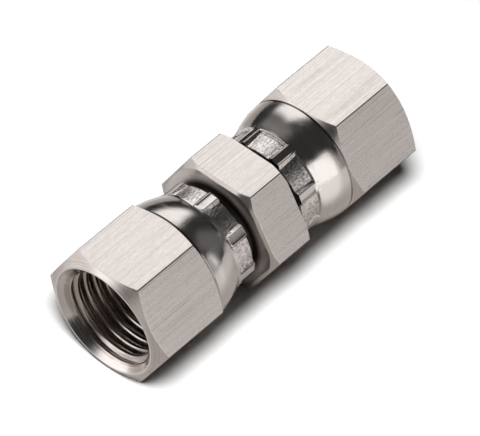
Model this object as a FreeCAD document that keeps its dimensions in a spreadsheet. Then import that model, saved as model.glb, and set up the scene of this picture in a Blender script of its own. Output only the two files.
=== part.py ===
import FreeCAD, Part
import math
import os

import Sketcher

# Straight swivel union in stainless steel: a turned body with a hexagon in the middle, and on
# each of its two tails a swivel nut whose skirt is crimped in behind the tail's collar.
# X runs along the bore and +Z up, with the origin at the middle of the body. All three
# hexagons lie with two flats level, so that the union rests on its lower flats.

SIZES = {
    # The thread in both nuts, and the steel that the hexagons leave round it.
    "thread_major": 14.0,
    "thread_pitch": 1.5,
    "thread_length": 8.1,
    "flat_wall": 1.5,
    "hex_chamfer": 30.0,
    # The nut's mouth: a countersunk lead-in and the narrow land round it.
    "lead_in_depth": 0.65,
    "lead_in_angle": 90.0,
    "face_land": 0.2,
    # The nut behind its hexagon: a dome that runs down to the crimped skirt.
    "nut_hex_length": 10.75,
    "thread_relief": 0.1,
    "skirt_wall": 1.375,
    "dome_radius": 11.0,
    "crimp_depth": 1.125,
    "skirt_length": 2.85,
    "skirt_edge": 0.2,
    "seat_setback": 0.55,
    "seat_angle": 30.0,
    # The crimp: pads pressed in round the skirt by the jaws of the crimping tool. Each nut sat
    # in the jaws at its own turn and reach, and the reach is how far they passed the skirt.
    "pad_count": 8,
    "pad_depth": 0.35,
    "pad_width": 3.5,
    "pad_draft": 60.0,
    "far_pad_turn": 41.0,
    "far_pad_reach": 0.12,
    "near_pad_turn": 17.5,
    "near_pad_reach": -0.15,
    # The body: its hexagon, neck, collar, sealing cone and flow bore.
    "body_hex_width": 6.7,
    "body_chamfer": 1.135,
    "skirt_gap": 1.25,
    "collar_width": 1.0,
    "collar_step": 0.6,
    "cone_angle": 60.0,
    "tip_wall": 1.2,
    "flow_bore": 6.0,
    # Room between the nut and the body that it swivels on.
    "seat_clearance": 0.1,
    "throat_clearance": 0.175,
    "collar_clearance": 0.4,
}

# How far a cutting outline runs past the surface that it removes.
CUT_MARGIN = 2.0


def size(name):
    """The expression for one cell of the sheet."""
    return "<<sizes>>." + name


# Radii that follow from the sizes above, as expressions.
THREAD_TOP = f"({size('thread_major')} / 2)"
THREAD_CORE = f"({THREAD_TOP} - 0.5413 * {size('thread_pitch')})"
FLAT_HEIGHT = f"({THREAD_TOP} + {size('flat_wall')})"
CORNER_RADIUS = f"({FLAT_HEIGHT} / cos(30))"
CHAMBER_RADIUS = f"({THREAD_TOP} + {size('thread_relief')})"
DOME_TOP = f"({CHAMBER_RADIUS} + {size('skirt_wall')})"
SKIRT_RADIUS = f"({DOME_TOP} - {size('crimp_depth')})"
THROAT_RADIUS = f"({SKIRT_RADIUS} - {size('skirt_wall')})"
NECK_RADIUS = f"({THROAT_RADIUS} - {size('throat_clearance')})"
COLLAR_RADIUS = f"({CHAMBER_RADIUS} - {size('collar_clearance')})"
BORE_RADIUS = f"({size('flow_bore')} / 2)"

# Places along X that follow from them, counted out from the middle of the body.
CHAMFER_SLOPE = f"tan({size('hex_chamfer')})"
BODY_FACE = f"({size('body_hex_width')} / 2)"
SKIRT_END = f"({BODY_FACE} + {size('skirt_gap')})"
CREASE = f"({SKIRT_END} + {size('skirt_length')})"
DOME_LENGTH = f"sqrt({size('crimp_depth')} * (2 * {size('dome_radius')} - {size('crimp_depth')}))"
DOME_START = f"({CREASE} + {DOME_LENGTH})"
NUT_CORNER = f"({DOME_START} + ({CORNER_RADIUS} - {DOME_TOP}) * {CHAMFER_SLOPE})"
NUT_FACE = f"({NUT_CORNER} + {size('nut_hex_length')})"
SEAT_START = f"({CREASE} + {size('seat_setback')})"


def seat_place(height, clearance="0"):
    """Where along X the crimped seat, or a cone held clear inside it, reaches a height."""
    rise = f"({height} - {THROAT_RADIUS} + {clearance} / cos({size('seat_angle')}))"
    return f"({SEAT_START} + {rise} / tan({size('seat_angle')}))"


def make_sheet(doc):
    """The sheet of driving sizes, one aliased cell each."""
    sheet = doc.addObject("Spreadsheet::Sheet", "sizes")
    for row, (name, value) in enumerate(SIZES.items(), start=1):
        sheet.set(f"A{row}", name)
        sheet.set(f"B{row}", str(value))
        sheet.setAlias(f"B{row}", name)
    doc.recompute()
    return sheet


def origin_part(body, role):
    """An origin plane or axis of the body, by its role."""
    return next(item for item in body.Origin.OriginFeatures if item.Role == role)


def place_point(sketch, geo, end, axis, expression):
    """Hold one coordinate of a sketch point at an expression, on either side of zero."""
    value = float(sketch.evalExpression(expression))
    kind = "DistanceX" if axis == 0 else "DistanceY"
    if value < 0:
        constraint = Sketcher.Constraint(kind, geo, end, -1, 1, -value)
        expression = f"-({expression})"
    else:
        constraint = Sketcher.Constraint(kind, -1, 1, geo, end, value)
    index = sketch.addConstraint(constraint)
    sketch.setExpression(f"Constraints[{index}]", expression)


def new_sketch(body, name, role, offset=None, turn=None):
    """A sketch on an origin plane, moved along its normal and turned in its plane if asked."""
    sketch = body.newObject("Sketcher::SketchObject", name)
    sketch.AttachmentSupport = [(origin_part(body, role), "")]
    sketch.MapMode = "FlatFace"
    if offset:
        sketch.setExpression("AttachmentOffset.Base.z", offset)
    if turn:
        sketch.AttachmentOffset = FreeCAD.Placement(
            FreeCAD.Vector(0, 0, 0), FreeCAD.Rotation(FreeCAD.Vector(0, 0, 1), 1.0)
        )
        sketch.setExpression("AttachmentOffset.Rotation.Angle", turn)
    return sketch


def arc_between(start, end, radius, bulge):
    """The short arc of a radius from start to end, bulging to the left (1) or right (-1)."""
    chord = end - start
    middle = (start + end) * 0.5
    normal = FreeCAD.Vector(-chord.y, chord.x, 0).normalize()
    reach = math.sqrt(radius ** 2 - (chord.Length / 2) ** 2)
    centre = middle - normal * (reach * bulge)
    crown = centre + normal * (radius * bulge)
    return Part.Arc(start, crown, end)


def outline(sketch, corners):
    """A closed outline; each corner is (x, y) or (x, y, radius, bulge) where an arc leaves it."""
    spots = []
    for corner in corners:
        x, y = (float(sketch.evalExpression(text)) for text in corner[:2])
        spots.append(FreeCAD.Vector(x, y, 0))
    count = len(corners)
    # Sketch points are numbered: 1 is a curve's start and 2 its end, which an arc that runs
    # clockwise has the other way round.
    starts, ends = [], []
    for index, corner in enumerate(corners):
        here, there = spots[index], spots[(index + 1) % count]
        if len(corner) == 2:
            geo = sketch.addGeometry(Part.LineSegment(here, there))
            starts.append((geo, 1))
            ends.append((geo, 2))
            continue
        radius, bulge = corner[2], corner[3]
        arc = arc_between(here, there, float(sketch.evalExpression(radius)), bulge)
        geo = sketch.addGeometry(arc)
        leads = 1 if bulge < 0 else 2
        starts.append((geo, leads))
        ends.append((geo, 3 - leads))
        held = sketch.addConstraint(Sketcher.Constraint("Radius", geo, sketch.Geometry[geo].Radius))
        sketch.setExpression(f"Constraints[{held}]", radius)
    for index in range(count):
        sketch.addConstraint(
            Sketcher.Constraint("Coincident", *ends[index], *starts[(index + 1) % count])
        )
    for index, corner in enumerate(corners):
        for axis in (0, 1):
            place_point(sketch, *starts[index], axis, corner[axis])


def hexagon(sketch):
    """A hexagon with two level flats, as a hex bar has."""
    half_side = f"({CORNER_RADIUS} / 2)"
    outline(sketch, [
        (CORNER_RADIUS, "0"),
        (half_side, FLAT_HEIGHT),
        (f"-{half_side}", FLAT_HEIGHT),
        (f"-{CORNER_RADIUS}", "0"),
        (f"-{half_side}", f"-{FLAT_HEIGHT}"),
        (half_side, f"-{FLAT_HEIGHT}"),
    ])


def turned(body, kind, name, corners):
    """A cut or a form turned about the X axis from an outline in the XZ plane."""
    sketch = new_sketch(body, name + "_outline", "XZ_Plane")
    outline(sketch, corners)
    feature = body.newObject(kind, name)
    feature.Profile = sketch
    feature.ReferenceAxis = (sketch, ["H_Axis"])
    feature.Angle = 360.0
    return feature


def mirrored(body, name, features):
    """The same features on the body's other side of the YZ plane."""
    feature = body.newObject("PartDesign::Mirrored", name)
    feature.Originals = features
    feature.MirrorPlane = (origin_part(body, "YZ_Plane"), [""])
    body.Tip = feature
    return feature


def ring_edges(shape, place, radius):
    """Names of the circular edges about the X axis at a place and radius."""
    names = []
    for index, edge in enumerate(shape.Edges, start=1):
        curve = edge.Curve
        if not isinstance(curve, Part.Circle) or abs(curve.Radius - radius) > 0.001:
            continue
        if abs(abs(curve.Center.x) - place) < 0.001 and abs(curve.Center.y) < 0.001:
            names.append(f"Edge{index}")
    return names


def chamfer_ring(body, name, base, place, radius, amount):
    """A chamfer on the ring edges at a place and radius, given as expressions."""
    doc = body.Document
    doc.recompute()
    spot = float(base.evalExpression(place))
    reach = float(base.evalExpression(radius))
    feature = body.newObject("PartDesign::Chamfer", name)
    feature.Base = (base, ring_edges(base.Shape, spot, reach))
    feature.setExpression("Size", amount)
    return feature


def make_union_body(doc):
    """The turned body: hexagon, two necks with collars and sealing cones, and the flow bore."""
    body = doc.addObject("PartDesign::Body", "union_body")
    body.Label = "union_body"

    bar = new_sketch(body, "hex_bar_outline", "YZ_Plane")
    hexagon(bar)
    hex_bar = body.newObject("PartDesign::Pad", "hex_bar")
    hex_bar.Profile = bar
    hex_bar.Midplane = True
    hex_bar.setExpression("Length", size("body_hex_width"))

    # The chamfer on the hexagon's corners, turned at both faces.
    face_radius = f"({CORNER_RADIUS} - {size('body_chamfer')})"
    outer = f"({CORNER_RADIUS} + {CUT_MARGIN})"
    chamfer = turned(body, "PartDesign::Groove", "corner_chamfer", [
        (BODY_FACE, face_radius),
        (f"({BODY_FACE} - ({outer} - {face_radius}) * {CHAMFER_SLOPE})", outer),
        (f"({BODY_FACE} + {CUT_MARGIN})", outer),
        (f"({BODY_FACE} + {CUT_MARGIN})", face_radius),
    ])
    mirrored(body, "corner_chamfers", [chamfer])

    # One tail: the neck, the collar with a conical back that bears on the nut's crimped seat,
    # and the sealing cone.
    collar_start = seat_place(COLLAR_RADIUS, size("seat_clearance"))
    collar_end = f"({collar_start} + {size('collar_width')})"
    cone_base = f"({COLLAR_RADIUS} - {size('collar_step')})"
    tip_radius = f"({BORE_RADIUS} + {size('tip_wall')})"
    tip = f"({collar_end} + ({cone_base} - {tip_radius}) / tan({size('cone_angle')} / 2))"
    tail = turned(body, "PartDesign::Revolution", "tail", [
        ("0", "0"),
        ("0", NECK_RADIUS),
        (seat_place(NECK_RADIUS, size("seat_clearance")), NECK_RADIUS),
        (collar_start, COLLAR_RADIUS),
        (collar_end, COLLAR_RADIUS),
        (collar_end, cone_base),
        (tip, tip_radius),
        (tip, "0"),
    ])
    mirrored(body, "tails", [tail])

    bore_sketch = new_sketch(body, "flow_bore_outline", "YZ_Plane")
    circle = bore_sketch.addGeometry(Part.Circle(FreeCAD.Vector(0, 0, 0), FreeCAD.Vector(0, 0, 1), 1))
    bore_sketch.addConstraint(Sketcher.Constraint("Coincident", circle, 3, -1, 1))
    held = bore_sketch.addConstraint(Sketcher.Constraint("Diameter", circle, 2.0))
    bore_sketch.setExpression(f"Constraints[{held}]", size("flow_bore"))
    bore = body.newObject("PartDesign::Pocket", "flow_bore")
    bore.Profile = bore_sketch
    bore.Type = "ThroughAll"
    bore.Midplane = True
    body.Tip = bore
    return body


def make_swivel_nut(doc, label, pad_turn, pad_reach):
    """A swivel nut with its mouth towards +X, crimped with a ring of pads round its skirt."""
    nut = doc.addObject("PartDesign::Body", label)
    nut.Label = label

    bar = new_sketch(nut, "hex_bar_outline", "YZ_Plane", offset=SKIRT_END)
    hexagon(bar)
    hex_bar = nut.newObject("PartDesign::Pad", "hex_bar")
    hex_bar.Profile = bar
    hex_bar.setExpression("Length", f"{NUT_FACE} - {SKIRT_END}")

    # Turned outside: chamfered corners in front, and behind the hexagon a chamfered shoulder,
    # the dome and the skirt that the dome runs down to.
    outer = f"({CORNER_RADIUS} + {CUT_MARGIN})"
    mouth = f"({THREAD_TOP} + {size('lead_in_depth')})"
    face_radius = f"({mouth} + {size('face_land')})"
    turned(nut, "PartDesign::Groove", "front_chamfer", [
        (NUT_FACE, face_radius),
        (f"({NUT_FACE} - ({outer} - {face_radius}) * {CHAMFER_SLOPE})", outer),
        (f"({NUT_FACE} + {CUT_MARGIN})", outer),
        (f"({NUT_FACE} + {CUT_MARGIN})", face_radius),
    ])
    before_skirt = f"({SKIRT_END} - {CUT_MARGIN})"
    dome = turned(nut, "PartDesign::Groove", "dome_and_skirt", [
        (before_skirt, SKIRT_RADIUS),
        (CREASE, SKIRT_RADIUS, size("dome_radius"), 1),
        (DOME_START, DOME_TOP),
        (f"({DOME_START} + ({outer} - {DOME_TOP}) * {CHAMFER_SLOPE})", outer),
        (before_skirt, outer),
    ])
    chamfer_ring(nut, "skirt_edge", dome, SKIRT_END, SKIRT_RADIUS, size("skirt_edge"))

    # Bored inside: lead-in, thread core, and the chamber that the crimp closes to a conical
    # seat and a throat behind the body's collar.
    lead_in_end = f"({NUT_FACE} - ({mouth} - {THREAD_CORE}) / tan({size('lead_in_angle')} / 2))"
    thread_end = f"({lead_in_end} - {size('thread_length')})"
    chamber_front = f"({thread_end} - ({CHAMBER_RADIUS} - {THREAD_CORE}))"
    bore = turned(nut, "PartDesign::Groove", "bore", [
        (before_skirt, "0"),
        (before_skirt, THROAT_RADIUS),
        (SEAT_START, THROAT_RADIUS),
        (seat_place(CHAMBER_RADIUS), CHAMBER_RADIUS),
        (chamber_front, CHAMBER_RADIUS),
        (thread_end, THREAD_CORE),
        (lead_in_end, THREAD_CORE),
        (NUT_FACE, mouth),
        (f"({NUT_FACE} + {CUT_MARGIN})", mouth),
        (f"({NUT_FACE} + {CUT_MARGIN})", "0"),
    ])

    # One crimp pad, its floor round the axis between sloping sides, and the ring of them. It
    # ends in a step, which the far nut's jaws put in the dome.
    pad_top = f"({SKIRT_RADIUS} + {CUT_MARGIN})"
    floor_radius = f"({SKIRT_RADIUS} - {size('pad_depth')})"
    half_floor = f"({size('pad_width')} / 2)"
    floor_edge = f"sqrt({floor_radius} ^ 2 - {half_floor} ^ 2)"
    spread = f"(({pad_top} - {floor_edge}) * tan({size('pad_draft')}))"
    pad_sketch = new_sketch(nut, "crimp_pad_outline", "YZ_Plane", offset=SKIRT_END, turn=pad_turn)
    outline(pad_sketch, [
        (f"-{half_floor}", floor_edge, floor_radius, 1),
        (half_floor, floor_edge),
        (f"({half_floor} + {spread})", pad_top),
        (f"-({half_floor} + {spread})", pad_top),
    ])
    pad = nut.newObject("PartDesign::Pocket", "crimp_pad")
    pad.Profile = pad_sketch
    pad.Reversed = True
    pad.setExpression("Length", f"{size('skirt_length')} + {pad_reach}")
    doc.recompute()
    if pad.Shape.Volume >= bore.Shape.Volume:
        raise RuntimeError(f"{label}: the crimp pad removes nothing")
    ring = nut.newObject("PartDesign::PolarPattern", "crimp_ring")
    ring.Originals = [pad]
    ring.Axis = (origin_part(nut, "X_Axis"), [""])
    ring.Angle = 360.0
    ring.setExpression("Occurrences", size("pad_count"))
    nut.Tip = ring
    return nut


def check(doc, bodies):
    """Stop if any object failed or any piece is not one sound solid."""
    for item in doc.Objects:
        if "Invalid" in item.State or "Error" in item.State:
            raise RuntimeError(f"{item.Label} failed: {item.State}")
    for body in bodies:
        shape = body.Shape
        if shape.isNull() or not shape.isValid() or len(shape.Solids) != 1:
            raise RuntimeError(f"{body.Label} is not one sound solid")


doc = FreeCAD.newDocument("swivel_union")
make_sheet(doc)
union_body = make_union_body(doc)
far_nut = make_swivel_nut(doc, "far_swivel_nut", size("far_pad_turn"), size("far_pad_reach"))
near_nut = make_swivel_nut(doc, "near_swivel_nut", size("near_pad_turn"), size("near_pad_reach"))
near_nut.Placement = FreeCAD.Placement(
    FreeCAD.Vector(0, 0, 0), FreeCAD.Rotation(FreeCAD.Vector(0, 0, 1), 180)
)
doc.recompute()

pieces = [union_body, far_nut, near_nut]
check(doc, pieces)
os.makedirs("parts", exist_ok=True)
for piece in pieces:
    piece.Shape.exportStep(f"parts/{piece.Label}.step")
    box = piece.Shape.BoundBox
    print(f"{piece.Label}: {piece.Shape.Volume:.1f} mm3, x {box.XMin:.2f} to {box.XMax:.2f}")
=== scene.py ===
import math
from functools import partial

import bmesh
import bpy
import numpy as np
from mathutils import Matrix, Vector


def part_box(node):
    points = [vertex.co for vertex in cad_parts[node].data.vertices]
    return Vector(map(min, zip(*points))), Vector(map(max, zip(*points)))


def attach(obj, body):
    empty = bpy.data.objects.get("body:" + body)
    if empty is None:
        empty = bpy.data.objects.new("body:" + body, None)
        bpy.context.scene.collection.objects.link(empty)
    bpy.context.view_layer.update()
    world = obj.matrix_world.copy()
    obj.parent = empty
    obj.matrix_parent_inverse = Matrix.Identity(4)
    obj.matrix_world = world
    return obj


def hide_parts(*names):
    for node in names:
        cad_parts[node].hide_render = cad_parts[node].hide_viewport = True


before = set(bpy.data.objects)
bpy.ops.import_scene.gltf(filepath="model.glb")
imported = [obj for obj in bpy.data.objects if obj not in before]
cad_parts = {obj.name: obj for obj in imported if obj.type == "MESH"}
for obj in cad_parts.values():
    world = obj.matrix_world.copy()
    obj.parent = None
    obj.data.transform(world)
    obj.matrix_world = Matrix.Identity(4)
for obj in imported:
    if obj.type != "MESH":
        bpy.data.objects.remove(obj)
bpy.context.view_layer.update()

# Union body. One length of 17 mm hexagon bar in stainless steel, left as drawn on its flats and
# turned on each side to a bright face, a neck, a collar and a 60 degree sealing cone. The bore
# is drilled right through. The nuts are crimped over its two collars and can't come off.
MM = 0.001
FLAT_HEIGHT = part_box("union_body")[1].z / MM
CORNER_RADIUS = FLAT_HEIGHT / math.cos(math.radians(30))
CHAMFER_SLOPE = math.tan(math.radians(30))
LONG_EDGE = 0.13

BODY_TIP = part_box("union_body")[1].x / MM
BODY_FACE = 3.35
BODY_FACE_RADIUS = CORNER_RADIUS - 1.135
FACE_CLEAR = 0.45
NECK_RADIUS = 5.8
COLLAR_RADIUS = 6.7
COLLAR_START = 9.46
COLLAR_END = 10.46
NECK_END = COLLAR_START - (COLLAR_RADIUS - NECK_RADIUS) / CHAMFER_SLOPE
CONE_BASE = 6.1
TIP_RADIUS = 4.2
BORE_RADIUS = 3.0


def linear(code):
    """An sRGB hex colour as the linear red, green, blue and alpha that a shader takes."""
    parts = [int(code[place:place + 2], 16) / 255 for place in (1, 3, 5)]
    return [part / 12.92 if part <= 0.04045 else ((part + 0.055) / 1.055) ** 2.4
            for part in parts] + [1.0]


def add_node(tree, kind, *values, out=0, **named):
    """Add a node, and return one of its outputs or, if out is None, the node. A shader node's
    kind goes without its first word, and with its operation, as in Math:ADD. A value is for an
    input, in order, by name or by number as in at_6, and a socket is linked to it. A name in
    small letters is a setting of the node."""
    kind, _, operation = kind.partition(":")
    node = tree.nodes.new(kind if "Node" in kind else "ShaderNode" + kind)
    if operation:
        node.operation = operation
    inputs = dict(enumerate(values))
    for name, value in named.items():
        if name.startswith("at_"):
            inputs[int(name[3:])] = value
        elif name[0].isupper():
            inputs[name.replace("_", " ")] = value
        else:
            setattr(node, name, value)
    for key, value in inputs.items():
        if isinstance(value, bpy.types.NodeSocket):
            tree.links.new(value, node.inputs[key])
        else:
            node.inputs[key].default_value = value
    return node if out is None else node.outputs[out]


def steel(name, colour, roughness):
    """A stainless steel of one finish, with its node tree and its shader's inputs."""
    material = bpy.data.materials.new(name)
    material.use_nodes = True
    tree = material.node_tree
    shader = tree.nodes["Principled BSDF"].inputs
    shader["Base Color"].default_value = linear(colour)
    shader["Metallic"].default_value = 1.0
    shader["Roughness"].default_value = roughness
    return material, tree, shader


def stretched(tree, along_x):
    """Object coordinates with X drawn out, so that a grain becomes a line along the bar."""
    place = add_node(tree, "TexCoord", out="Object")
    return add_node(tree, "VectorMath:MULTIPLY", place, (1 / along_x, 1.0, 1.0))


def ringed(tree, round_axis):
    """Coordinates in which a grain becomes a ring round the X axis, as a lathe tool leaves: x,
    the distance from the axis, and y so many times slower."""
    place = add_node(tree, "TexCoord", out="Object")
    x, y, z = add_node(tree, "SeparateXYZ", place, out=None).outputs
    across = add_node(tree, "CombineXYZ", 0.0, y, z)
    radius = add_node(tree, "VectorMath:LENGTH", across, out="Value")
    return add_node(tree, "CombineXYZ", x, radius, add_node(tree, "Math:DIVIDE", y, round_axis))


# Cold-drawn bar, bright and unpolished. The die leaves fine lines along the bar, closer than
# 0.1 mm on the real one and drawn here at the width of a pixel or two, with a few deeper ones
# in patches. A finer mottle keeps the flats from shining evenly.
drawn_flats, tree, shader = steel("drawn stainless bar", "#E8E1DD", 0.27)
fine_lines = add_node(tree, "TexNoise", Vector=stretched(tree, 250), Scale=1 / (0.13 * MM),
                      Detail=1.0, Roughness=0.5)
deep_lines = add_node(tree, "TexNoise", Vector=stretched(tree, 200), Scale=1 / (0.12 * MM),
                      Detail=0.6, Roughness=0.5)
patches = add_node(tree, "TexNoise", Vector=stretched(tree, 3), Scale=1 / (2.6 * MM),
                   Detail=2.0, Roughness=0.5)
mottle = add_node(tree, "TexNoise", Vector=stretched(tree, 3), Scale=1 / (0.22 * MM),
                  Detail=4.0, Roughness=0.7)
scored = add_node(tree, "Math:MULTIPLY", add_node(tree, "MapRange", deep_lines, 0.6, 0.72),
                  add_node(tree, "MapRange", patches, 0.44, 0.62))
lined = add_node(tree, "Mix", add_node(tree, "MapRange", fine_lines, 0.3, 0.7),
                 at_6=linear("#DAD2CD"), at_7=linear("#F0E9E5"), data_type="RGBA", out=2)
mottled = add_node(tree, "Mix", add_node(tree, "MapRange", mottle, 0.35, 0.65, 0.0, 0.3),
                   at_6=lined, at_7=linear("#D6CDC8"), data_type="RGBA", out=2)
tree.links.new(add_node(tree, "Mix", scored, at_6=mottled, at_7=linear("#B4ABA6"),
                        data_type="RGBA", out=2), shader["Base Color"])
tree.links.new(add_node(tree, "MapRange", mottle, 0.3, 0.7, 0.25, 0.33), shader["Roughness"])
tree.links.new(add_node(tree, "Bump", Height=fine_lines, Distance=0.003 * MM, Strength=1.0),
               shader["Normal"])

# Turned with a fine feed: chamfers, necks and cones carry faint rings round the axis.
turned_steel, tree, shader = steel("fine turned stainless", "#DCD4CF", 0.18)
rings = add_node(tree, "TexNoise", Vector=ringed(tree, 30), Scale=1 / (0.12 * MM),
                 Detail=2.0, Roughness=0.6)
tree.links.new(add_node(tree, "Mix", add_node(tree, "MapRange", rings, 0.3, 0.7),
                        at_6=linear("#CFC7C2"), at_7=linear("#E4DDD9"), data_type="RGBA", out=2),
               shader["Base Color"])
tree.links.new(add_node(tree, "MapRange", rings, 0.3, 0.7, 0.15, 0.24), shader["Roughness"])
tree.links.new(add_node(tree, "Bump", Height=rings, Distance=0.002 * MM, Strength=1.0),
               shader["Normal"])

# Faced off across the bar: the tool's rings are coarser towards the neck, so the face only shines
# softly there. Its colour holds painted shade, dark towards the neck where the nut's skirt keeps
# the light off, and painted light, lightest a little inside the rim and darker at the rim itself.
faced_steel, tree, shader = steel("faced stainless", "#D4CEC9", 0.2)
rings = add_node(tree, "TexNoise", Vector=ringed(tree, 30), Scale=1 / (0.16 * MM),
                 Detail=2.0, Roughness=0.6)
from_axis = add_node(tree, "SeparateXYZ", ringed(tree, 30), out="Y")
# Painted shade: the face goes dark towards the neck, where the nut's skirt keeps the light off.
painted_neck_shade = add_node(tree, "Mix", add_node(tree, "MapRange", from_axis, 6.5 * MM, 7.25 * MM),
                   at_6=linear("#5A524E"), at_7=linear("#EAE4E0"), data_type="RGBA", out=2)
# Painted light: the face is lightest between 7.25 and 7.8 mm from the axis, and darker out at its
# rim.
tree.links.new(add_node(tree, "Mix", add_node(tree, "MapRange", from_axis, 7.8 * MM, 8.5 * MM),
                        at_6=painted_neck_shade, at_7=linear("#C8C1BC"), data_type="RGBA", out=2),
               shader["Base Color"])
tree.links.new(add_node(tree, "MapRange", from_axis, 7.6 * MM, 8.6 * MM, 0.55, 0.28),
               shader["Roughness"])
tree.links.new(add_node(tree, "Bump", Height=rings, Distance=0.0005 * MM, Strength=1.0),
               shader["Normal"])

# Drilled and bored: a duller grey than the outside, with coarser rings.
bored_steel, tree, shader = steel("bored stainless", "#C9C0BA", 0.3)
rings = add_node(tree, "TexNoise", Vector=ringed(tree, 20), Scale=1 / (0.2 * MM),
                 Detail=2.0, Roughness=0.6)
tree.links.new(add_node(tree, "MapRange", rings, 0.3, 0.7, 0.22, 0.36), shader["Roughness"])
tree.links.new(add_node(tree, "Bump", Height=rings, Distance=0.004 * MM, Strength=1.0),
               shader["Normal"])

# The hexagon's long edges, rubbed smooth by the die and by handling, mirror the dark between
# the windows as a thin line, and their colour is painted dark as well: a painted dark reflection.
# The same dark paint lies as painted shade in the groove where the dome meets the hexagon and on
# the skirt's end.
painted_dark_steel, tree, shader = steel("rubbed stainless, painted dark", "#948C87", 0.1)
wear = add_node(tree, "TexNoise", Vector=stretched(tree, 8), Scale=1 / (0.3 * MM),
                Detail=2.0, Roughness=0.5)
tree.links.new(add_node(tree, "MapRange", wear, 0.35, 0.65, 0.07, 0.2), shader["Roughness"])

# A piece's mesh is a section at each of many angles round the axis, an even step apart and
# closer together where the hexagon's long edges are rounded.
COLUMN_STEP = 2.0
COLUMN_CLEAR = 0.4
EDGE_OFFS = (-0.85, -0.48, -0.32, -0.16, 0, 0.16, 0.32, 0.48, 0.85)
CORNER_MARKS = [60 * corner + off for corner in range(6) for off in EDGE_OFFS]
EDGE_REACH = 0.5

# An edge in a section is an arc of a few steps, which takes up to a share of the shorter side.
# A row held close on each side keeps the shading flat up to it.
ARC_STEPS = 4
ARC_SHARE = 0.35
HOLD = 0.035
HOLD_SHARE = 0.1
MERGE_WITHIN = 0.0004
DISSOLVE_WITHIN = 0.0002


def columns(marks):
    """Angles round the axis in degrees: every mark, and an even step between them."""
    marks = np.unique(np.round(np.mod(marks, 360), 4))
    even = np.arange(0, 360, COLUMN_STEP)
    apart = np.abs((even[:, None] - marks[None, :] + 180) % 360 - 180).min(axis=1)
    return np.sort(np.concatenate([marks, even[apart > COLUMN_CLEAR * COLUMN_STEP]]))


def hex_radius(angle):
    """How far the hexagon, its long edges rounded, is from the axis at an angle in degrees."""
    off = math.radians((angle + 30) % 60 - 30)
    centre = (FLAT_HEIGHT - LONG_EDGE) / math.cos(math.radians(30))
    turn = math.radians(30) - math.atan((FLAT_HEIGHT - LONG_EDGE) * CHAMFER_SLOPE / FLAT_HEIGHT)
    if abs(off) < turn:
        return centre * math.cos(off) + math.sqrt(LONG_EDGE ** 2 - (centre * math.sin(off)) ** 2)
    return FLAT_HEIGHT / math.cos(math.radians(30) - abs(off))


def soften(corners):
    """A closed section of (x, radius, edge, finish) corners, each edge cut to a small arc that
    is held on both sides. Returns its points and the finish of the stretch after each."""
    points, finishes = [], []
    for place, (x, radius, edge, finish) in enumerate(corners):
        here = np.array([x, radius])
        if not edge:
            points.append(here)
            finishes.append(finish)
            continue
        back = np.array(corners[place - 1][:2]) - here
        ahead = np.array(corners[(place + 1) % len(corners)][:2]) - here
        room_back, room_ahead = np.linalg.norm(back), np.linalg.norm(ahead)
        back, ahead = back / room_back, ahead / room_ahead
        half = math.acos(np.clip(back @ ahead, -1, 1)) / 2
        cut = min(edge / math.tan(half), ARC_SHARE * room_back, ARC_SHARE * room_ahead)
        points.append(here + back * (cut + min(HOLD, HOLD_SHARE * room_back)))
        finishes.append(corners[place - 1][3])
        for step in range(ARC_STEPS + 1):
            t = step / ARC_STEPS
            points.append(here + back * (cut * (1 - t) ** 2) + ahead * (cut * t ** 2))
            finishes.append(corners[place - 1][3] if 2 * step < ARC_STEPS else finish)
        points.append(here + ahead * (cut + min(HOLD, HOLD_SHARE * room_ahead)))
        finishes.append(finish)
    return points, finishes


def closed_skin(name, angles, sections, finishes, seam=None):
    """One mesh from a section at each angle, closed along the section and round the axis. The
    rubbed finish, whose colour is painted dark as a painted dark reflection, takes the drawn one's
    place on the long edges. A seam lists the row of the first section in which each row of the
    last one goes on."""
    grid = np.array(sections) * MM
    turn = np.radians(angles)[:, None]
    verts = np.stack([grid[..., 0], grid[..., 1] * np.cos(turn), grid[..., 1] * np.sin(turn)], -1)
    count, rows = grid.shape[:2]
    materials = list(dict.fromkeys([*finishes, painted_dark_steel]))
    plain = [materials.index(finish) for finish in finishes]
    # On the long edges the slots hold the dark-painted steel: a painted dark reflection line.
    rubbed = [materials.index(painted_dark_steel if finish == drawn_flats else finish)
              for finish in finishes]
    faces, slots = [], []
    for column in range(count):
        last = column == count - 1
        middle = (angles[column] + (360 if last else angles[column + 1])) / 2
        slots += rubbed if abs((middle + 30) % 60 - 30) < EDGE_REACH else plain
        base, next_base = column * rows, 0 if last else (column + 1) * rows
        for row in range(rows):
            after = (row + 1) % rows
            side = (seam[row], seam[after]) if last and seam else (row, after)
            faces.append((base + row, base + after, next_base + side[1], next_base + side[0]))
    mesh = bpy.data.meshes.new(name)
    mesh.from_pydata(verts.reshape(-1, 3).tolist(), [], faces)
    for material in materials:
        mesh.materials.append(material)
    mesh.polygons.foreach_set("material_index", slots)
    mesh.polygons.foreach_set("use_smooth", [True] * len(faces))
    return mesh


def close_up(mesh):
    """Merge the doubled points of a skin and turn its faces outwards."""
    skin = bmesh.new()
    skin.from_mesh(mesh)
    bmesh.ops.remove_doubles(skin, verts=skin.verts, dist=MERGE_WITHIN * MM)
    bmesh.ops.dissolve_degenerate(skin, edges=skin.edges, dist=DISSOLVE_WITHIN * MM)
    bmesh.ops.recalc_face_normals(skin, faces=skin.faces)
    skin.to_mesh(mesh)
    skin.free()


def new_object(name, data):
    """A mesh, a camera or a lamp as an object in the scene."""
    thing = bpy.data.objects.new(name, data)
    bpy.context.scene.collection.objects.link(thing)
    return thing


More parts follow.
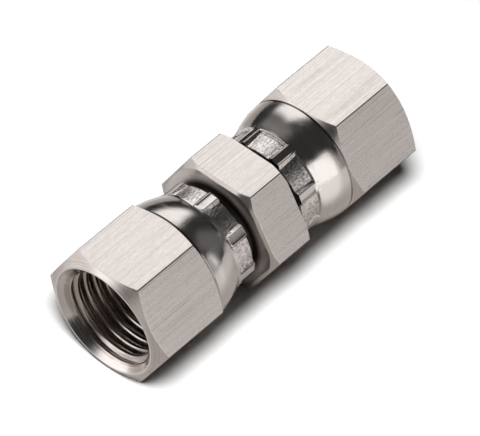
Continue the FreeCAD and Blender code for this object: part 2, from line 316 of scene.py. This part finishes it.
def body_section(angle):
    """The body's section at an angle: out over one tail, the hexagon and the other tail, and
    back through the bore."""
    flat = hex_radius(angle)
    face_radius = min(BODY_FACE_RADIUS, flat - FACE_CLEAR)
    corner = BODY_FACE - (flat - face_radius) * CHAMFER_SLOPE
    half = [
        (corner, flat, 0.07, faced_steel),
        (BODY_FACE, face_radius, 0.3, faced_steel),
        # The neck takes the faced finish, whose painted shade makes it dark in the gap under the
        # skirt.
        (BODY_FACE, NECK_RADIUS, 0.06, faced_steel),
        (NECK_END, NECK_RADIUS, 0.2, turned_steel),
        (COLLAR_START, COLLAR_RADIUS, 0.1, turned_steel),
        (COLLAR_END, COLLAR_RADIUS, 0.1, turned_steel),
        (COLLAR_END, CONE_BASE, 0.05, turned_steel),
        (BODY_TIP, TIP_RADIUS, 0.1, turned_steel),
        (BODY_TIP, BORE_RADIUS, 0.15, bored_steel),
    ]
    # On the other side a stretch comes before its corner, so each finish moves back by one.
    turned = list(reversed(half))
    other = [(-x, radius, edge, turned[place + 1][3]) for place, (x, radius, edge, _) in
             enumerate(turned[:-1])] + [(-corner, flat, 0.07, drawn_flats)]
    return soften(half + other)


body_angles = columns(CORNER_MARKS)
body_sections = [body_section(angle) for angle in body_angles]
body_mesh = closed_skin("turned_union_body", body_angles, [points for points, _ in body_sections],
                        body_sections[0][1])
close_up(body_mesh)
union_body = new_object("turned_union_body", body_mesh)
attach(union_body, "union_body")
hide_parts("union_body")

# Swivel nuts. Two alike, each turned from the same hexagon bar: chamfered corners and a
# countersunk mouth in front, and behind the hexagon a dome that is polished by the tool that
# closed it down over the body's collar. The last step crimps its skirt with a ring of eight pads.
NUT_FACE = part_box("far_swivel_nut")[1].x / MM
SKIRT_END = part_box("far_swivel_nut")[0].x / MM
THREAD_TOP = 7.0
MOUTH_RADIUS = THREAD_TOP + 0.65
FACE_RADIUS = MOUTH_RADIUS + 0.2
CHAMBER_RADIUS = THREAD_TOP + 0.1
WALL = 1.375
DOME_TOP = CHAMBER_RADIUS + WALL
DOME_DROP = 1.125
SKIRT_RADIUS = DOME_TOP - DOME_DROP
THROAT_RADIUS = SKIRT_RADIUS - WALL
DOME_RADIUS = 11.0
CREASE = SKIRT_END + 2.85
CREASE_BLEND = 0.16
DOME_START = CREASE + math.sqrt(DOME_DROP * (2 * DOME_RADIUS - DOME_DROP))
SEAT_START = CREASE + 0.55
GROOVE_WIDTH = 0.3
GROOVE_DEPTH = 0.07

# Each nut sat in the crimping jaws at its own turn, and they reached to a different place. The
# jaws' end leaves a wall, and the steel that they push aside a low lip round each pad.
PADS = 8
PAD_FLOOR = SKIRT_RADIUS - 0.35
PAD_HALF_WIDTH = 1.75
PAD_SIDE_SLOPE = math.tan(math.radians(30))
PAD_WALL = 0.14
PAD_LIP = 0.07
PAD_TAPER = 0.04
PAD_TURNS = {"far": 131.0, "near": 107.5}
PAD_ENDS = {"far": CREASE + 0.12, "near": CREASE - 0.15}
LEAST_DEPTH = 0.00001
END_LIP_REACH = 2.0
SIDE_LIP_REACH = 0.7

# Where the outside has rows along the nut: from the skirt's end, from the end of the pads, and
# how many on the dome; and where a pad's edge and its lip have columns, in degrees.
SKIRT_ROWS = (0.5, 1.1, 1.7, 2.2)
PAD_END_ROWS = (-0.3, -0.16, -PAD_WALL, -0.75 * PAD_WALL, -0.5 * PAD_WALL, -0.25 * PAD_WALL,
                0, 0.03, 0.07, 0.12, 0.18, 0.26, 0.36, 0.46)
DOME_ROWS = 15
DOME_FIRST_ROW = CREASE + 0.6
DOME_LAST_ROW = DOME_START - GROOVE_WIDTH - 0.1
PAD_EDGE_OFFS = (-0.3, 0, 0.3)
PAD_LIP_OFFS = (0.6, 0.95, 1.4, 2.0, 2.8)
MARK_CLEAR = 0.1

# A metric thread, whose groove is 5/8 as deep as the sharp 60 degree triangle is high.
THREAD_PITCH = 1.5
THREAD_DEPTH = 0.5413 * THREAD_PITCH
THREAD_CORE = THREAD_TOP - THREAD_DEPTH
THREAD_CREST = 0.3 * THREAD_PITCH
THREAD_ROUNDING = 0.16
THREAD_LENGTH = 8.1
LEAD_IN_END = NUT_FACE - (MOUTH_RADIUS - THREAD_CORE)
THREAD_END = LEAD_IN_END - THREAD_LENGTH
CHAMBER_FRONT = THREAD_END - (CHAMBER_RADIUS - THREAD_CORE)
ROW_CLEAR = 0.05
THREAD_FRONT_ROW = NUT_FACE - (MOUTH_RADIUS - THREAD_TOP) + ROW_CLEAR
THREAD_BACK_ROW = CHAMBER_FRONT + ROW_CLEAR
CREST_AT = 20.64

# Rows follow the thread through these pitches, and lie in each at these shares of a pitch from
# the middle of a crest.
THREAD_PITCHES = range(-2, 7)
THREAD_ROWS = (-0.24, -0.2, -0.17, -0.14, -0.1, 0, 0.1, 0.14, 0.17, 0.2, 0.24, 0.34,
               0.43, 0.4625, 0.49, 0.51, 0.5375, 0.57, 0.66)

# The dome is burnished by the closing tool: near a mirror, with the faintest rings and a skin
# that is a little uneven where the steel was worked.
polished_dome, tree, shader = steel("burnished stainless", "#DAD4D0", 0.1)
haze = add_node(tree, "TexNoise", Vector=ringed(tree, 2), Scale=1 / (1.4 * MM),
                Detail=4.0, Roughness=0.65)
orange_peel = add_node(tree, "TexNoise", Vector=stretched(tree, 1), Scale=1 / (0.4 * MM),
                       Detail=4.0, Roughness=0.65)
tree.links.new(add_node(tree, "MapRange", haze, 0.4, 0.7, 0.09, 0.26), shader["Roughness"])
tree.links.new(add_node(tree, "Bump", Height=orange_peel, Distance=0.006 * MM, Strength=1.0),
               shader["Normal"])

# The pads are pressed in by the crimping jaws, whose coarse grain they take on as bright specks.
stamped_pads, tree, shader = steel("stamped stainless", "#D6CFCA", 0.2)
jaw_grain = add_node(tree, "TexNoise", Vector=stretched(tree, 1.6), Scale=1 / (0.26 * MM),
                     Detail=4.0, Roughness=0.7)
tree.links.new(add_node(tree, "Mix", add_node(tree, "MapRange", jaw_grain, 0.35, 0.6),
                        at_6=linear("#A69E9A"), at_7=linear("#F4EFEC"), data_type="RGBA", out=2),
               shader["Base Color"])
tree.links.new(add_node(tree, "MapRange", jaw_grain, 0.3, 0.7, 0.08, 0.2), shader["Roughness"])
tree.links.new(add_node(tree, "Bump", Height=jaw_grain, Distance=0.05 * MM, Strength=1.0),
               shader["Normal"])

# The thread is cut by a tap, which leaves its flanks bright and slightly torn along the cut.
cut_thread, tree, shader = steel("tapped stainless", "#C6BCB6", 0.16)
tears = add_node(tree, "TexNoise", Vector=ringed(tree, 12), Scale=1 / (0.14 * MM),
                 Detail=3.0, Roughness=0.65)
tree.links.new(add_node(tree, "Mix", add_node(tree, "MapRange", tears, 0.35, 0.65),
                        at_6=linear("#A79C95"), at_7=linear("#D4CCC7"), data_type="RGBA", out=2),
               shader["Base Color"])
tree.links.new(add_node(tree, "MapRange", tears, 0.3, 0.7, 0.12, 0.24), shader["Roughness"])
tree.links.new(add_node(tree, "Bump", Height=tears, Distance=0.004 * MM, Strength=1.0),
               shader["Normal"])


def crest(x):
    """Radius of the turned skirt and dome at a place along the nut, blended at the crease."""
    dome = DOME_TOP - DOME_RADIUS + math.sqrt(DOME_RADIUS ** 2 - (DOME_START - x) ** 2)
    near = max(CREASE_BLEND - abs(dome - SKIRT_RADIUS), 0) / CREASE_BLEND
    return max(dome if x > CREASE - 1 else 0, SKIRT_RADIUS) + near ** 2 * CREASE_BLEND / 4


def nut_section(angle, pad_end):
    """The nut's section at an angle: out along the skirt, dome and hexagon to the mouth, and
    back through the thread and the chamber. Also the row at which the thread starts."""
    flat = hex_radius(angle)
    groove_start = DOME_START - GROOVE_WIDTH
    places = [*(SKIRT_END + step for step in SKIRT_ROWS), *(pad_end + off for off in PAD_END_ROWS),
              *np.linspace(DOME_FIRST_ROW, DOME_LAST_ROW, DOME_ROWS)]
    outside = [
        (SKIRT_END, SKIRT_RADIUS, 0.06, polished_dome),
        *((x, crest(x), 0, polished_dome) for x in places),
        # The groove takes the dark-painted steel: painted shade in it.
        (groove_start, crest(groove_start), 0.05, painted_dark_steel),
        (DOME_START - 0.4 * GROOVE_WIDTH, DOME_TOP - GROOVE_DEPTH, 0.03, painted_dark_steel),
        (DOME_START, DOME_TOP, 0.03, turned_steel),
        (DOME_START + (flat - DOME_TOP) * CHAMFER_SLOPE, flat, 0.05, drawn_flats),
        (NUT_FACE - (flat - FACE_RADIUS) * CHAMFER_SLOPE, flat, 0.06, turned_steel),
        (NUT_FACE, FACE_RADIUS, 0.08, turned_steel),
        (NUT_FACE, MOUTH_RADIUS, 0.08, turned_steel),
        (THREAD_FRONT_ROW, MOUTH_RADIUS - (NUT_FACE - THREAD_FRONT_ROW), 0, turned_steel),
    ]
    inside = [
        (CHAMBER_FRONT, CHAMBER_RADIUS, 0, bored_steel),
        (SEAT_START + (CHAMBER_RADIUS - THROAT_RADIUS) / CHAMFER_SLOPE, CHAMBER_RADIUS, 0.1,
         bored_steel),
        (SEAT_START, THROAT_RADIUS, 0.1, bored_steel),
        # The skirt's end takes the dark-painted steel: painted shade in the gap by the body.
        (SKIRT_END, THROAT_RADIUS, 0.1, painted_dark_steel),
    ]
    points, finishes = soften(outside + inside)
    first = len(points) - sum(1 + (ARC_STEPS + 2) * bool(edge) for _, _, edge, _ in inside)
    rows = []
    for pitch in THREAD_PITCHES:
        for phase in THREAD_ROWS:
            x = CREST_AT + THREAD_PITCH * (angle / 360 - pitch - phase)
            rows.append(np.array([np.clip(x, THREAD_BACK_ROW, THREAD_FRONT_ROW), THREAD_CORE]))
    points[first:first] = rows
    finishes[first:first] = [cut_thread] * len(rows)
    return points, finishes, first


def nut_marks(turn):
    """Angles that the nut's long edges and its ring of pads need."""
    floor_edge = math.degrees(math.asin(PAD_HALF_WIDTH / PAD_FLOOR))
    slack = math.atan(PAD_SIDE_SLOPE)
    edge_height = math.sqrt(PAD_FLOOR ** 2 - PAD_HALF_WIDTH ** 2)
    reach = (edge_height - PAD_HALF_WIDTH * PAD_SIDE_SLOPE) * math.cos(slack) / SKIRT_RADIUS
    side_edge = math.degrees(math.acos(reach) - slack)
    offs = [edge + off for edge in (floor_edge, side_edge) for off in PAD_EDGE_OFFS]
    offs += [side_edge + off for off in PAD_LIP_OFFS]
    ring = [turn + 360 / PADS * pad + side * off
            for pad in range(PADS) for off in offs for side in (-1, 1)]
    return CORNER_MARKS + [
        mark for mark in ring if MARK_CLEAR < min(
            abs((mark - corner + 180) % 360 - 180) for corner in CORNER_MARKS)]


def new_tree(name, sizes):
    """A geometry tree with a named input for each size, and for the finish that it leaves."""
    tree = bpy.data.node_groups.new(name, "GeometryNodeTree")
    face = tree.interface
    face.new_socket("Geometry", in_out="INPUT", socket_type="NodeSocketGeometry")
    for size in sizes:
        face.new_socket(size, in_out="INPUT", socket_type="NodeSocketFloat")
    face.new_socket("Finish", in_out="INPUT", socket_type="NodeSocketMaterial")
    face.new_socket("Geometry", in_out="OUTPUT", socket_type="NodeSocketGeometry")
    given = tree.nodes.new("NodeGroupInput").outputs
    return tree, given, [given[size] for size in sizes]


def split_place(tree):
    """A point's coordinates, its distance from the X axis and its angle round that axis."""
    place = add_node(tree, "GeometryNodeInputPosition")
    x, y, z = add_node(tree, "SeparateXYZ", place, out=None).outputs
    squares = [add_node(tree, "Math:MULTIPLY", side, side) for side in (y, z)]
    radius = add_node(tree, "Math:SQRT", add_node(tree, "Math:ADD", *squares))
    return (x, y, z), radius, add_node(tree, "Math:ARCTAN2", z, y)


def finish_tree(tree, given, place, radius, moved, chosen):
    """End a tree: points go to their new radius, and the chosen faces get the finish."""
    add = partial(add_node, tree)
    x, y, z = place
    scale = add("Math:DIVIDE", moved, radius)
    to = add("CombineXYZ", x, add("Math:MULTIPLY", y, scale), add("Math:MULTIPLY", z, scale))
    marked = add("GeometryNodeStoreNamedAttribute", Geometry=given["Geometry"], Name="worked",
                 Value=chosen, data_type="FLOAT")
    real = add("GeometryNodeRealizeInstances", add("GeometryNodeSetPosition", marked, Position=to))
    worked = add("GeometryNodeInputNamedAttribute", Name="worked", data_type="FLOAT")
    coated = add("GeometryNodeSetMaterial", real, Selection=add("Math:GREATER_THAN", worked, 0.5),
                 Material=given["Finish"])
    add("NodeGroupOutput", coated, out=None)


def crimp_tree():
    """Presses a ring of pads into the skirt, each with sloping sides and a closed end."""
    tree, given, (pads, floor, taper, middle, half_width, slope, closed_end, wall, lip, turn) = (
        new_tree("crimp pads", ("Pads", "Floor", "Taper", "Middle", "Half width", "Side slope",
                                "Closed end", "Wall", "Lip", "Turn")))
    add = partial(add_node, tree)
    place, radius, angle = split_place(tree)
    x = place[0]

    # Across a pad: the floor lies round the axis, tapered along it, between straight sides.
    half_pitch = add("Math:DIVIDE", math.pi, pads)
    off = add("Math:WRAP", add("Math:SUBTRACT", angle, turn), half_pitch,
              add("Math:MULTIPLY", half_pitch, -1.0))
    along, across = add("Math:COSINE", off), add("Math:ABSOLUTE", add("Math:SINE", off))
    edge_height = add("Math:SQRT", add("Math:SUBTRACT", add("Math:MULTIPLY", floor, floor),
                                       add("Math:MULTIPLY", half_width, half_width)))
    foot = add("Math:SUBTRACT", edge_height, add("Math:MULTIPLY", half_width, slope))
    side = add("Math:DIVIDE", foot,
               add("Math:SUBTRACT", along, add("Math:MULTIPLY", across, slope)))
    rise = add("Math:MULTIPLY", taper, add("Math:SUBTRACT", x, middle))
    bottom = add("Math:MAXIMUM", add("Math:ADD", floor, rise), side)
    depth = add("Math:MAXIMUM", add("Math:SUBTRACT", radius, bottom), 0.0)

    # Along it: the wall at the jaws' end.
    open_end = add("MapRange", x, add("Math:SUBTRACT", closed_end, wall), closed_end, 1.0, 0.0,
                   interpolation_type="SMOOTHSTEP")
    pressed = add("Math:MULTIPLY", depth, open_end)

    # Round it: the lip past the wall, and beside each long side.
    past = add("Math:DIVIDE", add("Math:SUBTRACT", x, closed_end),
               add("Math:MULTIPLY", wall, END_LIP_REACH))
    swell = add("Math:EXPONENT", add("Math:MULTIPLY", add("Math:MULTIPLY", past, past), -1.0))
    at_end = add("Math:MULTIPLY",
                 add("Math:MULTIPLY", swell, add("Math:GREATER_THAN", depth, LEAST_DEPTH)),
                 add("Math:SUBTRACT", 1.0, open_end))
    beyond = add("Math:DIVIDE", add("Math:MAXIMUM", add("Math:SUBTRACT", side, radius), 0.0),
                 add("Math:MULTIPLY", wall, SIDE_LIP_REACH))
    fall = add("Math:EXPONENT", add("Math:SUBTRACT", 1.0, beyond))
    at_side = add("Math:MULTIPLY", add("Math:MULTIPLY", beyond, fall), open_end)
    raised = add("Math:MULTIPLY", lip, add("Math:ADD", at_end, at_side))
    moved = add("Math:ADD", add("Math:SUBTRACT", radius, pressed), raised)
    finish_tree(tree, given, place, radius, moved, add("Math:GREATER_THAN", pressed, LEAST_DEPTH))
    return tree


def thread_tree():
    """Cuts a right-hand thread between the countersunk mouth and the relief behind it."""
    tree, given, (pitch, crest_at, crest_width, rounding, core, depth, face, mouth_radius,
                  relief_end, relief_radius) = (
        new_tree("cut thread", ("Pitch", "Crest at", "Crest width", "Rounding", "Core radius",
                                "Depth", "Face", "Mouth radius", "Relief end", "Relief radius")))
    add = partial(add_node, tree)
    place, radius, angle = split_place(tree)
    x = place[0]

    # How far a point is from the middle of a crest, and how deep the 60 degree groove is there.
    turns = add("Math:SUBTRACT", add("Math:DIVIDE", add("Math:SUBTRACT", x, crest_at), pitch),
                add("Math:DIVIDE", angle, 2 * math.pi))
    off = add("Math:MULTIPLY", add("Math:ABSOLUTE", add("Math:WRAP", turns, 0.5, -0.5)), pitch)
    flank = add("Math:DIVIDE", add("Math:SUBTRACT", off, add("Math:DIVIDE", crest_width, 2.0)),
                math.tan(math.radians(30)))
    rounded = add("Math:SQRT", add("Math:ADD", add("Math:MULTIPLY", flank, flank),
                                   add("Math:MULTIPLY", rounding, rounding)))
    groove = add("Math:MINIMUM", add("Math:MULTIPLY", add("Math:ADD", flank, rounded), 0.5), depth)

    # The mouth and the relief cut the thread off at 45 degrees.
    mouth = add("Math:SUBTRACT", mouth_radius, add("Math:SUBTRACT", face, x))
    relief = add("Math:SUBTRACT", relief_radius, add("Math:SUBTRACT", x, relief_end))
    cut = add("Math:MAXIMUM", add("Math:ADD", core, groove), add("Math:MAXIMUM", mouth, relief))
    bored = add("GeometryNodeInputNamedAttribute", Name="bored", data_type="FLOAT")
    moved = add("Math:ADD", radius,
                add("Math:MULTIPLY", add("Math:SUBTRACT", cut, radius), bored))
    finish_tree(tree, given, place, radius, moved, bored)
    return tree


def apply_tree(piece, tree, finish, sizes):
    """Let a geometry tree with these sizes work on the piece, and leave it a plain mesh."""
    modifier = piece.modifiers.new(tree.name, "NODES")
    modifier.node_group = tree
    sockets = {item.name: item.identifier for item in tree.interface.items_tree
               if item.in_out == "INPUT"}
    for name, value in sizes.items():
        modifier[sockets[name]] = float(value)
    modifier[sockets["Finish"]] = finish
    bpy.context.view_layer.update()
    worked_on = piece.evaluated_get(bpy.context.evaluated_depsgraph_get())
    done = bpy.data.meshes.new_from_object(worked_on)
    piece.modifiers.clear()
    piece.data = done


crimp = crimp_tree()
tap = thread_tree()
for side, pad_turn in PAD_TURNS.items():
    angles = columns(nut_marks(pad_turn))
    sections = [nut_section(angle, PAD_ENDS[side]) for angle in angles]
    _, finishes, first = sections[0]
    # The thread is a helix: after a whole turn, each of its rows goes on one pitch further out.
    after_thread = first + len(THREAD_ROWS) * len(THREAD_PITCHES)
    seam = [max(row - len(THREAD_ROWS), first) if first <= row < after_thread else row
            for row in range(len(finishes))]
    mesh = closed_skin(side + "_crimped_nut", angles, [points for points, _, _ in sections],
                       finishes, seam)
    in_thread = np.zeros((len(angles), len(finishes)))
    in_thread[:, first:after_thread] = 1
    bored = mesh.attributes.new("bored", "FLOAT", "POINT")
    bored.data.foreach_set("value", in_thread.ravel())
    nut = new_object(side + "_crimped_nut", mesh)
    apply_tree(nut, crimp, stamped_pads, {
        "Pads": PADS, "Floor": PAD_FLOOR * MM, "Taper": PAD_TAPER,
        "Middle": (SKIRT_END + CREASE) / 2 * MM, "Half width": PAD_HALF_WIDTH * MM,
        "Side slope": PAD_SIDE_SLOPE, "Closed end": PAD_ENDS[side] * MM, "Wall": PAD_WALL * MM,
        "Lip": PAD_LIP * MM, "Turn": math.radians(pad_turn),
    })
    apply_tree(nut, tap, cut_thread, {
        "Pitch": THREAD_PITCH * MM, "Crest at": CREST_AT * MM, "Crest width": THREAD_CREST * MM,
        "Rounding": THREAD_ROUNDING * MM, "Core radius": THREAD_CORE * MM,
        "Depth": THREAD_DEPTH * MM, "Face": NUT_FACE * MM, "Mouth radius": MOUTH_RADIUS * MM,
        "Relief end": CHAMBER_FRONT * MM, "Relief radius": CHAMBER_RADIUS * MM,
    })
    if side == "near":
        nut.data.transform(Matrix.Rotation(math.pi, 4, "Z"))
    close_up(nut.data)
    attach(nut, side + "_nut")
    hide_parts(side + "_swivel_nut")

# Studio. The union stands by itself on a plain pale sweep, seen from above its near mouth.
LENS_PX = 4578.0
FRAME_PX = 480
CAMERA_AZIMUTH = -48.05
CAMERA_ELEVATION = 48.25
CAMERA_DISTANCE = 562.4
AIM_RIGHT = 0.569
AIM_UP = -0.746

azimuth, elevation = math.radians(CAMERA_AZIMUTH), math.radians(CAMERA_ELEVATION)
back = Vector((math.sin(azimuth) * math.cos(elevation),
               -math.cos(azimuth) * math.cos(elevation), math.sin(elevation)))
right = Vector((math.cos(azimuth), math.sin(azimuth), 0))
up = back.cross(right)
camera_data = bpy.data.cameras.new("camera")
camera_data.sensor_width = 36.0
camera_data.lens = camera_data.sensor_width * LENS_PX / FRAME_PX
camera_data.clip_start = 0.01
camera_data.clip_end = 20.0
camera = new_object("camera", camera_data)
aim = (right * AIM_RIGHT + up * AIM_UP) * MM
axes = Matrix((right, up, back)).transposed()
camera.matrix_world = Matrix.Translation(aim + back * CAMERA_DISTANCE * MM) @ axes.to_4x4()
bpy.context.scene.camera = camera

# A white sweep, its sizes in metres. Round the union it takes the shadow, and further out it
# fades into the white background, so that no edge or horizon shows.
FLOOR_REACH = 0.6
FLOOR_HEIGHT = -FLAT_HEIGHT * MM
FADE_START, FADE_END = 0.05, 0.12


def new_material(name):
    """An empty material and its node tree."""
    material = bpy.data.materials.new(name)
    material.use_nodes = True
    material.node_tree.nodes.clear()
    return material, material.node_tree


def stage_mesh(name, verts, faces, material):
    """A part of the studio, which isn't part of the union."""
    mesh = bpy.data.meshes.new(name)
    mesh.from_pydata(verts, [], faces)
    mesh.materials.append(material)
    thing = new_object(name, mesh)
    return thing


def square(reach, height):
    """The corners of a level square about the origin."""
    return [(-reach, -reach, height), (reach, -reach, height), (reach, reach, height),
            (-reach, reach, height)]


sweep, tree = new_material("white sweep")
spot = add_node(tree, "TexCoord", out="Object")
far_out = add_node(tree, "VectorMath:LENGTH", spot, out="Value")
fade = add_node(tree, "MapRange", far_out, FADE_START, FADE_END, interpolation_type="SMOOTHSTEP")
paper = add_node(tree, "BsdfDiffuse", Color=linear("#FAFAFA"))
faded = add_node(tree, "MixShader", fade, paper, add_node(tree, "BsdfTransparent"))
add_node(tree, "OutputMaterial", faded, out=None)
stage_mesh("floor", square(FLOOR_REACH, FLOOR_HEIGHT), [(0, 1, 2, 3)], sweep)

# A grey board and a dark tent with lit panels, which only the steel's reflections show. The board
# also glows on its −Y side with painted light. Each panel fades out at its edges, as a softbox
# seen in burnished steel does.
BOARD_GREY = "#CEC9C6"
BOARD_SHINE = 0.4
BOARD_ROUGHNESS = 0.25
BOARD_GLOW = 0.2
BOARD_LIFT = 0.02 * MM
GLOW_START, GLOW_END = -14 * MM, -26 * MM
TENT_RADIUS = 0.7
TENT_LOWEST = -4
TENT_STEP = 2
TENT_DARK = 0.035
EDGE_STEEPNESS = 4
PANELS = [
    # Azimuth from +X and elevation in degrees, how bright, and how far the edge fades: behind,
    # at the right hand and at the left, and the greyer cloth beside and above them.
    (20, 69, 21, 62, 1.22, 8),
    (-112, -71, -30, 40, 1.35, 5),
    (114, 166, -30, 50, 1.55, 14),
    (-68, -50, -12, 22, 0.3, 9),
    (-52, -46, 2, 25, 1.0, 4),
    (-46, -12, 5, 46, 0.11, 10),
    (78, 125, 20, 82, 0.19, 12),
]


def direction(azimuth, elevation):
    """A direction of length 1, from its azimuth from +X and its elevation in degrees."""
    around, above = math.radians(azimuth), math.radians(elevation)
    return Vector((math.cos(around) * math.cos(above), math.sin(around) * math.cos(above),
                   math.sin(above)))


def only_reflected(thing):
    """The steel reflects this, and nothing else in the render shows it or is shaded by it."""
    thing.visible_camera = False
    thing.visible_diffuse = False
    thing.visible_shadow = False
    thing.visible_transmission = False


def panel_light(azimuth, elevation, panel):
    """How bright a panel makes the tent in a direction."""
    left, right, bottom, top, level, fade = panel
    across = max(left - azimuth, azimuth - right) * math.cos(math.radians(elevation))
    along = max(bottom - elevation, elevation - top)
    outside = math.hypot(max(across + fade, 0), max(along + fade, 0)) - fade
    return level / (1 + math.exp(EDGE_STEEPNESS * outside / fade))


board_paint, tree = new_material("grey board")
matt = add_node(tree, "BsdfDiffuse", Color=linear(BOARD_GREY))
shine = add_node(tree, "BsdfGlossy", Roughness=BOARD_ROUGHNESS)
paint = add_node(tree, "MixShader", BOARD_SHINE, matt, shine)
board_y = add_node(tree, "SeparateXYZ", add_node(tree, "TexCoord", out="Object"), out="Y")
# Painted light: from 14 mm to 26 mm out on the −Y side the board's glow rises, so the floor
# mirrored there looks lit brighter away from the union's shadow.
painted_glow_level = add_node(tree, "MapRange", board_y, GLOW_START, GLOW_END, 0.0, BOARD_GLOW)
painted_board_glow = add_node(tree, "Emission", Strength=painted_glow_level)
add_node(tree, "OutputMaterial", add_node(tree, "AddShader", paint, painted_board_glow), out=None)
only_reflected(stage_mesh(
    "board", square(FLOOR_REACH, FLOOR_HEIGHT + BOARD_LIFT), [(0, 1, 2, 3)], board_paint))

tent_cloth, tree = new_material("dark tent cloth")
bounces = add_node(tree, "LightPath", out="Diffuse Depth")
direct = add_node(tree, "Math:LESS_THAN", bounces, 0.5)
cloth_glow = add_node(tree, "Attribute", attribute_name="glow", out="Fac")
glow = add_node(tree, "Math:MULTIPLY", cloth_glow, direct)
add_node(tree, "OutputMaterial", add_node(tree, "Emission", Strength=glow), out=None)
tent_azimuths = list(range(-180, 180, TENT_STEP))
tent_elevations = list(range(TENT_LOWEST, 91, TENT_STEP))
tent_spots = [(azimuth, elevation) for elevation in tent_elevations for azimuth in tent_azimuths]
tent_faces = []
for row in range(len(tent_elevations) - 1):
    for column in range(len(tent_azimuths)):
        beside = (column + 1) % len(tent_azimuths)
        low, high = row * len(tent_azimuths), (row + 1) * len(tent_azimuths)
        tent_faces.append((low + column, low + beside, high + beside, high + column))
tent = stage_mesh("tent", [direction(*spot) * TENT_RADIUS for spot in tent_spots], tent_faces,
                  tent_cloth)
tent_glow = [TENT_DARK + sum(panel_light(*spot, panel) for panel in PANELS)
             for spot in tent_spots]
tent.data.attributes.new("glow", "FLOAT", "POINT").data.foreach_set("value", tent_glow)
only_reflected(tent)

world = bpy.data.worlds.new("studio")
bpy.context.scene.world = world
world.use_nodes = True
tree = world.node_tree
tree.nodes.clear()
rays = add_node(tree, "LightPath", out=None).outputs
seen = add_node(tree, "Math:MAXIMUM", rays["Is Camera Ray"], rays["Is Glossy Ray"])
seen = add_node(tree, "Math:MAXIMUM", seen, rays["Is Transmission Ray"])
level = add_node(tree, "Background", linear("#FFFFFF"), 0.01)
white = add_node(tree, "Background", linear("#FFFFFF"), 1.0)
add_node(tree, "OutputWorld", add_node(tree, "MixShader", seen, level, white), out=None)

# The key is one round softbox, over the union and off to its near end and right hand. It lights
# the sweep to white and casts the soft shadow under the flats; only the tent is mirrored.
KEY_AZIMUTH, KEY_ELEVATION = -139.7, 66.6
KEY_DISTANCE = 1.0
KEY_WIDTH = 0.36
KEY_POWER = 12.4

key_lamp = bpy.data.lights.new("key", "AREA")
key_lamp.shape = "DISK"
key_lamp.size = KEY_WIDTH
key_lamp.energy = KEY_POWER
key = new_object("key", key_lamp)
way = direction(KEY_AZIMUTH, KEY_ELEVATION)
key.matrix_world = (Matrix.Translation(way * KEY_DISTANCE)
                    @ way.to_track_quat("Z", "Y").to_matrix().to_4x4())
key.visible_glossy = False

# A card lies in the gaps between the hexagons, and nothing shows it. It only stops the key's
# light, so that the shadow runs straight on from nut to nut.
CARD_LENGTH, CARD_REACH = 15.0 * MM, 9.6 * MM
card = stage_mesh("card", [(-CARD_LENGTH, -CARD_REACH, 0), (CARD_LENGTH, -CARD_REACH, 0),
                           (CARD_LENGTH, 0, 0), (-CARD_LENGTH, 0, 0)],
                  [(0, 1, 2, 3)], board_paint)
card.visible_camera = False
card.visible_diffuse = False
card.visible_glossy = False
card.visible_transmission = False

bpy.context.scene.view_settings.view_transform = "Standard"
